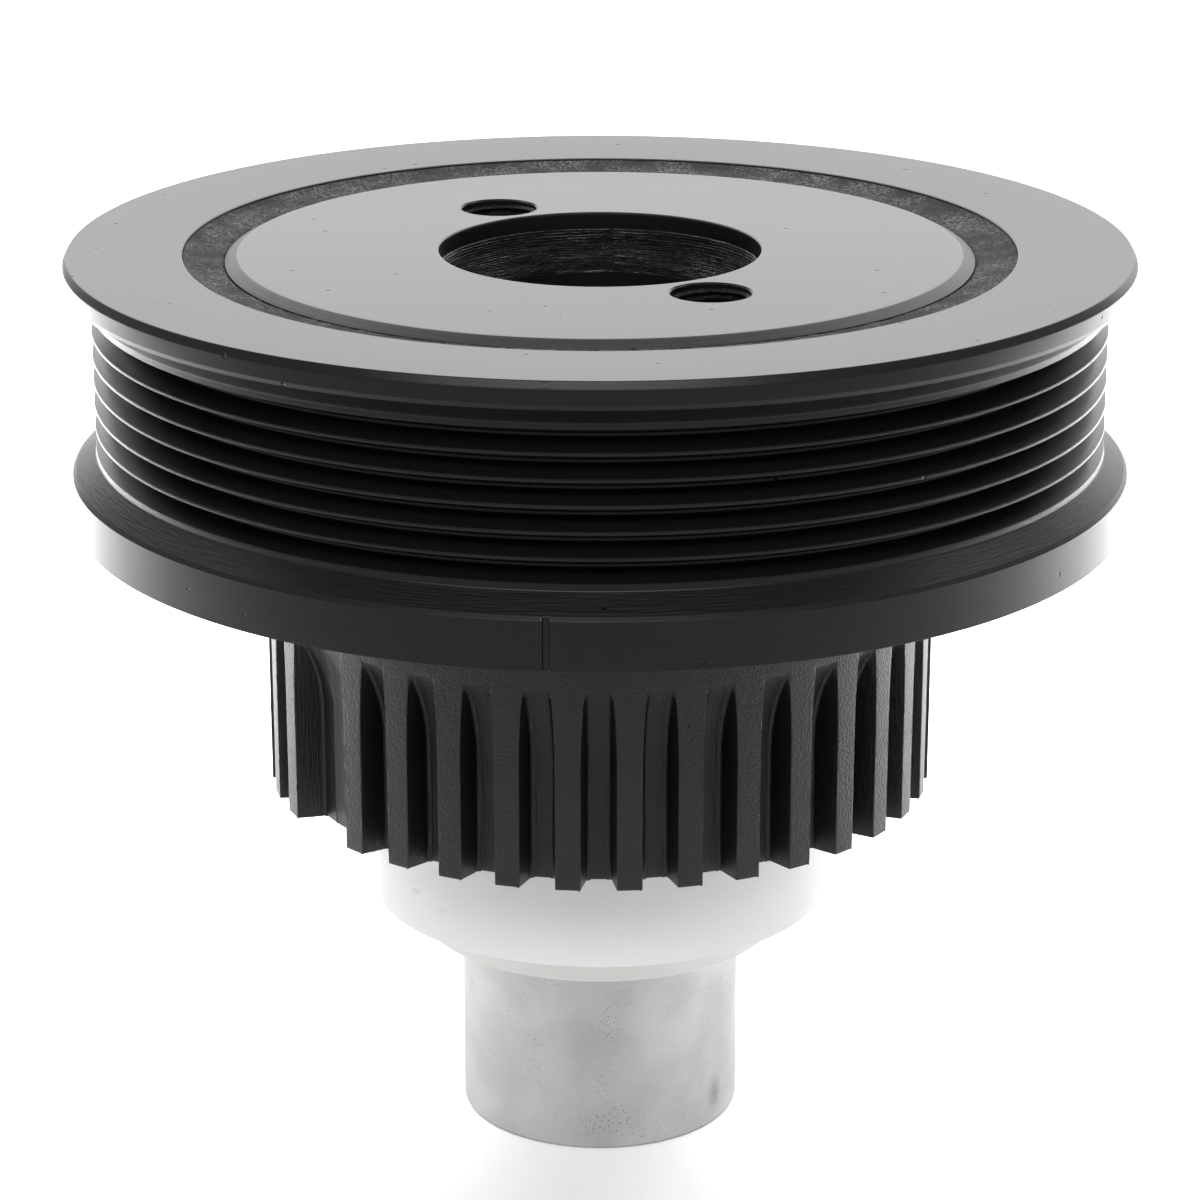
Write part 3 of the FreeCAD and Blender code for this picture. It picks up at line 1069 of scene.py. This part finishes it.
    def rise_at(self, along: float) -> float:
        """How far the cutter has risen.

        Args:
            along: Distance past its full depth.

        Returns:
            The rise, up to the slot's whole depth.
        """
        if along <= 0:
            return 0.0
        if along >= self.run_out:
            return self.slot_depth
        return self.cutter_radius - math.sqrt(self.cutter_radius ** 2 - along ** 2)

    def skin_place(self, plan: Vector, height: float) -> Vector:
        """Where a point of the plan lies at a height of the drum.

        Args:
            plan: The point in the drum's plan, in metres.
            height: Height in millimetres.

        Returns:
            The place, in metres.
        """
        turn, lag = self.pass_of(turn_of(plan))
        rise = self.rise_at(height - self.full_depth_end - lag)
        angle = math.radians(turn)
        across = (plan.x * math.cos(angle) + plan.y * math.sin(angle)) / MM
        out = (plan.x * math.sin(angle) - plan.y * math.cos(angle)) / MM
        surface = math.sqrt(self.drum_radius ** 2 - across ** 2)
        depth = surface - out
        # What lies deeper than a third of the slot is its floor
        if depth > self.slot_depth / 3:
            depth = max(0.0, depth - rise)
        elif depth > HAIR:
            # The walls lean outwards, so the mouth grows narrower as the cutter rises
            lean = self.mouth_lean * rise / self.slot_depth
            # It leaves a ragged burr along the edges
            spot = Vector((plan.x, plan.y, height * MM)) * per_metre(self.burr_size)
            ragged = max(0.0, noise.noise(spot) - self.burr_threshold)
            depth = min(depth, self.slot_depth - rise) - self.burr * ragged * (rise < self.slot_depth)
            across -= math.copysign(lean, across)
            surface = math.sqrt(self.drum_radius ** 2 - across ** 2)
        return PlanPoint(turn, across, surface - depth).place(height)

    def raise_skin(self, bm: BMesh, loop: list[BMEdge]) -> list[BMEdge]:
        """Build the drum's outside from its plan up to the back of the pulley ring.

        Args:
            bm: Mesh that holds the plan.
            loop: Edges of the plan.

        Returns:
            Edges round its top.
        """
        layer = bm.verts.layers.float_vector.new("plan")
        for vertex in bm.verts:
            vertex[layer] = vertex.co
        straight = self.slot_straight_length / self.straight_steps
        leaving = (self.run_out + self.gap_lag) / self.run_out_steps
        heights = [self.drum_end + straight * step for step in range(1, self.straight_steps + 1)]
        heights += [self.full_depth_end + leaving * step for step in range(1, self.run_out_steps + 1)]
        for height in [*heights, self.ring_back]:
            loop = raise_loop(bm, loop, lambda vertex, level=height: self.skin_place(vertex[layer], level))
        bm.verts.layers.float_vector.remove(layer)
        # Where a slot has run out, its walls have no height left
        bmesh.ops.remove_doubles(bm, verts=list({v for edge in loop for v in edge.verts}), dist=WELD)
        return ring_edges(bm, self.drum_radius, self.ring_back)

    def turn_front(self, bm: BMesh) -> list[BMEdge]:
        """Turn the rim and the disc's rounded shoulder.

        Args:
            bm: Mesh that gets them.

        Returns:
            Edges where the turned part ends on the disc's face.
        """
        shoulder = self.rim_radius - self.disc_edge_radial
        end = shoulder - self.disc_inset
        Lathe(self.turned_steps).turn(bm, [
            Corner(self.rim_radius, self.ring_back),
            Corner(self.rim_radius, self.rim_front, self.disc_rounding),
            Corner(shoulder, self.disc_face, self.disc_rounding),
            Corner(end, self.disc_face),
        ])
        return ring_edges(bm, end, self.disc_face)

    def cut_recess(self, bm: BMesh) -> None:
        """Turn the bolt recess: smooth at its mouth, then rough tool lines down a hollow curve to the seat.

        Args:
            bm: Mesh that gets the recess.
        """
        corners = [
            Corner(self.recess_radius + self.recess_lip, self.disc_face),
            Corner(self.recess_radius, self.disc_face, self.recess_rounding),
        ]
        last = self.recess_radius, self.recess_smooth_depth
        for following in (*self.recess_curve, (self.seat_radius, self.seat_top_depth)):
            for line in range(self.lines_per_step):
                for way, inset in ((line, 0.0), (line + self.recess_line_width, self.recess_line_depth)):
                    share = way / self.lines_per_step
                    radius, depth = (a + (b - a) * share for a, b in zip(last, following))
                    corners.append(Corner(radius - inset, self.disc_face - depth))
            last = following
        known = set(bm.verts)
        Lathe(self.rough_steps).turn(bm, corners + [
            Corner(self.seat_radius, self.disc_face - self.seat_top_depth, self.seat_rounding),
            Corner(self.seat_radius, self.bolt_seat),
        ])
        rough_end = self.seat_top_depth - self.seat_rounding
        rough = [v for v in bm.verts if v not in known
                 and rough_end > self.disc_face - v.co.z / MM > self.recess_smooth_depth]
        roughen(rough, self.recess_layers)

    def turn_back(self, bm: BMesh) -> None:
        """Turn the journal, neck, boss and pocket, from the journal's end to the drum's end.

        Args:
            bm: Mesh that gets them.
        """
        Lathe(self.turned_steps).turn(bm, [
            Corner(self.journal_radius - self.journal_edge, 0),
            Corner(self.journal_radius, self.journal_edge, self.journal_edge_rounding),
            Corner(self.journal_radius, self.collar_end),
            Corner(self.neck_radius - self.neck_lead, self.collar_end),
            Corner(self.neck_radius, self.collar_end + self.neck_lead),
            Corner(self.neck_radius, self.collar_top),
            Corner(self.boss_radius, self.collar_top, self.boss_rounding),
            Corner(self.boss_radius, self.pocket_floor, self.boss_foot_rounding),
            Corner(self.pocket_radius - self.pocket_corner, self.pocket_floor, self.pocket_rounding),
            Corner(self.pocket_radius, self.pocket_floor - self.pocket_corner, self.pocket_rounding),
            Corner(self.pocket_radius, self.drum_end),
        ])

    def cut_bore(self, bm: BMesh) -> tuple[list[BMEdge], list[BMEdge]]:
        """Pull the bore with its keyway from the washer's seat down to the journal's end.

        Args:
            bm: Mesh that gets the bore.

        Returns:
            Its edges at the seat and at the journal's end.
        """
        radius, half, lead = self.crank_bore_radius, self.keyway_width / 2, self.crank_bore_lead
        start = math.asin(half / radius)
        known = set(bm.edges)
        first = bm.verts.new(PlanPoint(math.degrees(start), 0, radius).place(self.bolt_seat))
        arc = spin(bm, [first], math.radians(WHOLE_TURN) - 2 * start, self.bore_steps)
        last = next(item for item in arc if isinstance(item, BMVert))
        floor = radius + self.keyway_depth
        places = [PlanPoint(0, across, floor).place(self.bolt_seat) for across in (-half, half)]
        keyway = [last, *(bm.verts.new(place) for place in places), first]
        for pair in zip(keyway, keyway[1:]):
            bm.edges.new(pair)
        top = [edge for edge in bm.edges if edge not in known]

        def placed(vertex: BMVert, wanted: float, height: float) -> Vector:
            """Place of a point of the bore at its next level.

            Args:
                vertex: The point.
                wanted: Radius of the bore there.
                height: Height of the level.

            Returns:
                The place, in metres.
            """
            x, y = vertex.co.x / MM, vertex.co.y / MM
            across = math.hypot(x, y)
            # The keyway's floor goes straight down
            if across < radius + self.keyway_depth / 2:
                # The two edges of the keyway keep their distance, and the rest of the bore grows evenly
                if y < 0 and abs(abs(x) - half) < HAIR:
                    y = -math.sqrt(wanted ** 2 - x ** 2)
                else:
                    x, y = x * wanted / across, y * wanted / across
            return Vector((x, y, height)) * MM

        loop = raise_loop(bm, top, lambda vertex: placed(vertex, radius, lead))
        return top, raise_loop(bm, loop, lambda vertex: placed(vertex, radius + lead, 0))

    def hole_centre(self, number: int) -> Vector:
        """Middle of a puller hole at the disc's face, in metres."""
        turn = self.puller_angle + number * WHOLE_TURN / self.puller_holes
        return PlanPoint(turn, 0, self.puller_circle_radius).place(self.disc_face)

    def cut_puller_hole(self, bm: BMesh, centre: Vector) -> list[BMEdge]:
        """Pull one puller hole down from the disc's face to its drill point.

        Args:
            bm: Mesh that gets the hole.
            centre: Middle of the hole at the face.

        Returns:
            Edges of the hole at the face.
        """
        made = bmesh.ops.create_circle(bm, cap_ends=False, segments=self.hole_steps,
                                       radius=self.puller_sink_radius * MM,
                                       matrix=Matrix.Translation(centre))["verts"]
        top = list({edge for vertex in made for edge in vertex.link_edges})
        radius = self.puller_hole_radius
        point_depth = radius / math.tan(math.radians(self.drill_point / 2))
        loop = top
        for wanted, depth in (
            (radius, self.puller_sink_radius - radius),
            (radius, self.puller_hole_depth),
            (0.0, self.puller_hole_depth + point_depth),
        ):

            def place_of(vertex: BMVert, wanted: float = wanted, depth: float = depth) -> Vector:
                """Place of a point of the hole at this depth.

                Args:
                    vertex: The point.
                    wanted: Radius of the hole there.
                    depth: How far it is below the disc's face.

                Returns:
                    The place, in metres.
                """
                aside = vertex.co - centre
                aside.z = 0
                return centre + aside.normalized() * wanted * MM - Vector((0, 0, depth * MM))

            loop = raise_loop(bm, loop, place_of)
        return top

    def zone_of(self, centre: Vector) -> HubZone:
        """Say how the surface at a place was made.

        Args:
            centre: The place, in metres.

        Returns:
            The zone it belongs to.
        """
        radius, height = radius_of(centre) / MM, centre.z / MM
        smooth_end = self.disc_face - self.recess_smooth_depth
        in_bore = radius < self.seat_radius - self.bore_inset and height < self.bolt_seat - MARGIN
        if height < self.collar_end or in_bore:
            return HubZone.GROUND
        if radius < self.recess_radius and self.bolt_seat + self.seat_wall < height < smooth_end:
            return HubZone.RECESS
        if radius > self.rim_radius - self.disc_edge_radial and height > self.rim_front:
            return HubZone.SHOULDER
        if radius < self.pocket_radius and height < self.pocket_floor + self.pocket_reach:
            return HubZone.CAST
        if self.drum_end < height < self.ring_back:
            return HubZone.LAND if radius > self.drum_radius - self.mouth_edge / 2 else HubZone.SLOT
        return HubZone.TURNED

    def build(self) -> Object:
        """Build the casting as one closed mesh.

        Returns:
            The piece.
        """
        bm = bmesh.new()
        plan = self.drum_plan(bm)
        centres = [self.hole_centre(number) for number in range(self.puller_holes)]
        holes = [edge for centre in centres for edge in self.cut_puller_hole(bm, centre)]
        seat_loop, end_loop = self.cut_bore(bm)
        self.cut_recess(bm)
        self.turn_back(bm)
        disc_loop = self.turn_front(bm)
        drum_top = self.raise_skin(bm, plan)
        lip = ring_edges(bm, self.recess_radius + self.recess_lip, self.disc_face)
        fill_flat(bm, drum_top + ring_edges(bm, self.rim_radius, self.ring_back))
        fill_flat(bm, disc_loop + lip + holes)
        fill_flat(bm, seat_loop + ring_edges(bm, self.seat_radius, self.bolt_seat))
        fill_flat(bm, end_loop + ring_edges(bm, self.journal_radius - self.journal_edge, 0))
        fill_flat(bm, plan + ring_edges(bm, self.pocket_radius, self.drum_end))
        soften(bm, plan, self.drum_end_break)
        bmesh.ops.remove_doubles(bm, verts=bm.verts, dist=WELD)
        # The softened end leaves a gap where two passes of the cutter meet
        bmesh.ops.holes_fill(bm, edges=bm.edges, sides=6)
        for face in bm.faces:
            face.material_index = self.zone_of(face.calc_center_median()).value
        finishes = {
            HubZone.TURNED: CoatedIron("coated_turned_disc", ToolMark.TURNED, 0.3, 0.025, 0.32),
            HubZone.LAND: CoatedIron("coated_tooth_land", ToolMark.EVEN, 0.4, 0.15, 0.42,
                                     specular=0.46, speck_size=0.25),
            HubZone.SLOT: CoatedIron("coated_milled_slot", ToolMark.MILLED, 0.35, 0.1, 0.43,
                                     specular=0.44, grain_depth=0.03, speck_size=0.2),
            HubZone.CAST: CoatedIron("coated_casting", ToolMark.EVEN, 0.5, 0.35, 0.34),
            HubZone.GROUND: GroundIron(),
            HubZone.RECESS: CoatedIron("coated_bored_recess", ToolMark.HATCHED, 0.3, 0.3, 0.32,
                                       specular=0.9, stroke=0.0015),
            HubZone.SHOULDER: CoatedIron("coated_rough_shoulder", ToolMark.TURNED, 0.25, 0.1, 0.5,
                                         specular=1.0),
        }
        in_order = [finishes[zone] for zone in HubZone]
        return finish_piece(bm, "hub_casting", in_order, Slot.COATED_IRON, "hub")


@dataclass
class PullerThread:
    """Thread in one puller hole: a ridge wound up the wall."""

    hub: Hub
    number: int
    pitch: float = 1.0
    ridge: float = 0.5
    foot: float = 0.05
    half_foot_width: float = 0.42
    half_tip_width: float = 0.06
    clear_above: float = 0.75
    clear_below: float = 1.6
    layers: tuple[tuple[float, float], ...] = ((0.45, 0.12),)
    steps: int = 72

    def build(self) -> Object:
        """Wind the ridge from just under the hole's countersink to near its bottom.

        Returns:
            The piece.
        """
        centre = self.hub.hole_centre(self.number)
        top = self.hub.disc_face - self.clear_above
        foot = self.hub.puller_hole_radius + self.foot
        tip = self.hub.puller_hole_radius - self.ridge
        # Whole turns keep both blunt ends on the front side, out of sight
        turns = int((self.hub.puller_hole_depth - self.clear_below - self.clear_above) / self.pitch)
        half = self.pitch * self.half_foot_width
        section = [(tip, self.half_tip_width), (foot, half), (foot, -half), (tip, -self.half_tip_width)]
        bm = bmesh.new()
        end = bm.faces.new([bm.verts.new(Vector((0, -radius, top + up)) * MM) for radius, up in section])
        steps = self.steps * turns
        spin(bm, [end, *end.edges, *end.verts], math.radians(WHOLE_TURN) * turns, steps,
             rise=-turns * self.pitch * MM / steps)
        bmesh.ops.translate(bm, verts=bm.verts, vec=(centre.x, centre.y, 0))
        roughen(bm.verts[:], self.layers)
        coat = CoatedIron(f"coated_thread_{self.number + 1}", ToolMark.EVEN, 0.4, 0.3, 0.32)
        return finish_piece(bm, f"puller_thread_{self.number + 1}", [coat], Slot.COATED_IRON)


@dataclass
class RubberBand:
    """Rubber between the hub's rim and the pulley ring, with crumbly ends that creep up the ring's bore."""

    hub: Hub
    rim_shares: tuple[float, ...] = (0.0, 0.025, 0.05)
    middle_share: float = 0.9
    ring_shares: tuple[float, ...] = (0.95, 0.975, 1.0)
    end_steps: int = 12
    hollow: float = 0.15
    cleft: float = 0.35
    cleft_width: float = 0.4
    creep: float = 0.6
    creep_width: float = 0.9
    layers: tuple[tuple[float, float], ...] = ((1.1, 0.1), (0.5, 0.06))
    steps: int = 720

    def end_corner(self, share: float, rim_level: float, ring_level: float, inwards: int) -> Corner:
        """One corner of an end.

        Args:
            share: How far from the rim to the pulley ring it lies, from 0 to 1.
            rim_level: Height of the end at the rim.
            ring_level: Its height at the pulley ring.
            inwards: 1 where the band lies above the end, -1 where it lies below.

        Returns:
            The corner.
        """
        outer = box_of("rubber_ring")[1].x
        radius = self.hub.rim_radius + (outer - self.hub.rim_radius) * share
        from_edge = min(radius - self.hub.rim_radius, outer - radius)
        sag = self.hollow * math.sin(math.pi * share)
        sag += self.cleft * max(0.0, 1 - from_edge / self.cleft_width)
        sag -= self.creep * max(0.0, 1 - (outer - radius) / self.creep_width) ** 2
        return Corner(radius, rim_level + (ring_level - rim_level) * share + inwards * sag)

    def build(self) -> Object:
        """Turn the band and roughen its two ends.

        Returns:
            The piece.
        """
        low, high = box_of("rubber_ring")
        middle = [self.rim_shares[-1] + self.middle_share * step / self.end_steps
                  for step in range(1, self.end_steps)]
        shares = [*self.rim_shares, *middle, *self.ring_shares]
        corners = [self.end_corner(share, low.z, low.z, 1) for share in shares]
        corners += [self.end_corner(share, self.hub.rim_front, high.z, -1) for share in reversed(shares)]
        bm = bmesh.new()
        Lathe(self.steps).turn(bm, corners, closed=True)
        inner, outer = (self.hub.rim_radius + MARGIN) * MM, (high.x - MARGIN) * MM
        roughen([v for v in bm.verts if inner < radius_of(v.co) < outer], self.layers)
        return finish_piece(bm, "rubber_band", [VulcanisedRubber()], Slot.RUBBER, "rubber_ring")


@dataclass(frozen=True)
class SoftBox:
    """A rectangular light that the camera doesn't see. Places are in millimetres."""

    name: str
    place: tuple[float, float, float]
    aim: tuple[float, float, float]
    sides: tuple[float, float]
    brightness: float
    spread: float = 180.0

    def hang(self) -> None:
        """Hang the light."""
        data = bpy.data.lights.new(self.name, "AREA")
        data.shape = "RECTANGLE"
        data.size, data.size_y = self.sides[0] * MM, self.sides[1] * MM
        # Brightness is what a mirror would show of it, so the power follows its area
        data.energy = self.brightness * math.pi * data.size * data.size_y
        data.spread = math.radians(self.spread)
        lamp = add_object(self.name, data)
        place, aim = Vector(self.place) * MM, Vector(self.aim) * MM
        lamp.location = place
        lamp.rotation_euler = (aim - place).to_track_quat("-Z", "Y").to_euler()
        lamp.visible_camera = False


@dataclass
class Studio:
    """Pale floor, soft light and the photograph's camera."""

    camera_turn: float = 5.2
    camera_distance: float = 537.6
    camera_height: float = 262.0
    camera_pitch: float = 18.57
    sensor: float = 36.0
    focal_pixels: float = 3747.0
    image_pixels: float = 1200.0
    floor_radius: float = 8000.0
    floor_sides: int = 96
    room_brightness: float = 0.56
    boxes: tuple[SoftBox, ...] = (
        SoftBox("box_behind", (0, 1900, 620), (0, 0, 100), (3200, 1150), 2.25),
        SoftBox("box_left", (-480, 420, 600), (-430, 380, 0), (450, 450), 16.6, 80),
        SoftBox("box_right", (480, 420, 600), (430, 380, 0), (450, 450), 14.6, 80),
        SoftBox("box_front", (0, -800, 900), (0, 0, 30), (1200, 300), 2.3, 100),
    )

    def build(self) -> None:
        """Set up the floor, the lights and the camera."""
        self.lay_floor()
        self.fill_room()
        for box in self.boxes:
            box.hang()
        self.place_camera()

    def lay_floor(self) -> None:
        """Lay the floor that the part stands on."""
        bm = bmesh.new()
        bmesh.ops.create_circle(bm, cap_ends=True, segments=self.floor_sides, radius=self.floor_radius * MM)
        add_mesh("floor", bm, [Paper()])

    def fill_room(self) -> None:
        """Light the room evenly."""
        world = bpy.data.worlds.new("studio_room")
        world.use_nodes = True
        world.node_tree.nodes.clear()
        room = add_node(world.node_tree, "Background", {
            "Color": linear("#ffffff"), "Strength": self.room_brightness})
        add_node(world.node_tree, "OutputWorld", {"Surface": room})
        bpy.context.scene.world = world

    def place_camera(self) -> None:
        """Put the camera where the photograph was taken from."""
        data = bpy.data.cameras.new("photograph")
        data.sensor_width = self.sensor
        data.lens = self.focal_pixels / self.image_pixels * self.sensor
        camera = add_object("photograph", data)
        camera.location = PlanPoint(self.camera_turn, 0, self.camera_distance).place(self.camera_height)
        pitch = math.radians(self.camera_pitch)
        level = -camera.location.xy.normalized() * math.cos(pitch)
        forward = Vector((level.x, level.y, -math.sin(pitch)))
        camera.rotation_mode = "QUATERNION"
        camera.rotation_quaternion = forward.to_track_quat("-Z", "Y")
        bpy.context.scene.camera = camera


def main() -> None:
    """Build the pieces and the studio."""
    logging.basicConfig(level=logging.INFO)
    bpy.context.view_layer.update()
    Studio().build()
    hub = Hub()
    builders = [hub, RubberBand(hub), PulleyRing(), DustCollar()]
    builders += [PullerThread(hub, number) for number in range(hub.puller_holes)]
    for builder in builders:
        piece = builder.build()
        log.info("built %s", piece.name)
    # The plain transform keeps the paper white and the coat black, as the photograph has them
    bpy.context.scene.view_settings.view_transform = "Standard"


if __name__ == "__main__":
    main()
